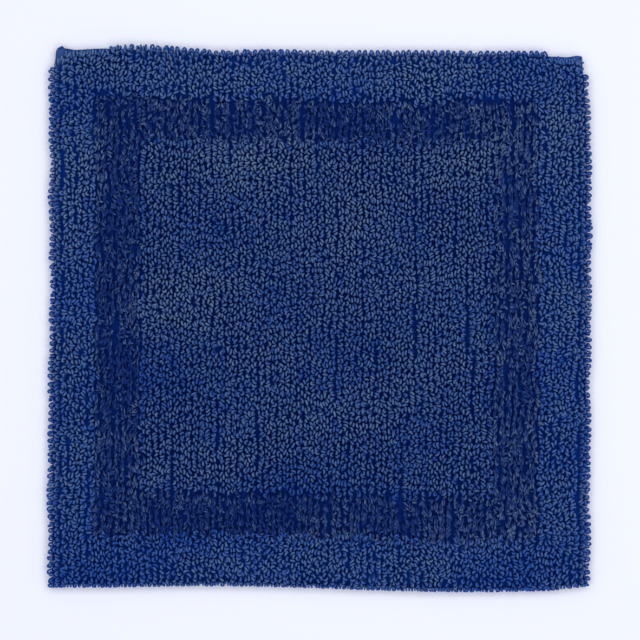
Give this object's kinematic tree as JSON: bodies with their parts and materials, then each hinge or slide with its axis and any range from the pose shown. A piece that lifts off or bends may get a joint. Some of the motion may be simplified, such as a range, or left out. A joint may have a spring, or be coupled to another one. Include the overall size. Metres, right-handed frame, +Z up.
{
  "type": "bath mat",
  "caption": "Square tufted cotton bath mat: looped pile border and centre parted by a sheared frame band, on a woven cloth with edges turned under and stitched.",
  "frame": {"origin": "on the floor, under the middle of the mat, at the flat underside of the middle row of back stitches", "axes": "+Z up out of the pile, +Y along the columns of loops towards the narrower plain border at the back edge, +X to the right"},
  "size_m": [0.4998, 0.4998, 0.013],
  "materials": {
    "pile_yarn": "matte",
    "sheared_yarn": "matte",
    "ground_cloth": "matte",
    "sewing_thread": "satin"
  },
  "bodies": {
    "root": {"back_stitch_rows": "pile_yarn", "ground_cloth": "ground_cloth", "hem_right": "ground_cloth", "hem_back": "ground_cloth", "hem_left": "ground_cloth", "hem_front": "ground_cloth", "hem_stitching_right": "sewing_thread", "hem_stitching_back": "sewing_thread", "hem_stitching_left": "sewing_thread", "hem_stitching_front": "sewing_thread", "border_pile_left": "pile_yarn", "border_pile_right": "pile_yarn", "border_pile_back": "pile_yarn", "border_pile_front": "pile_yarn", "frame_band_left": "sheared_yarn", "frame_band_right": "sheared_yarn", "frame_band_back": "sheared_yarn", "frame_band_front": "sheared_yarn", "centre_pile": "pile_yarn"}
  },
  "joints": []
}
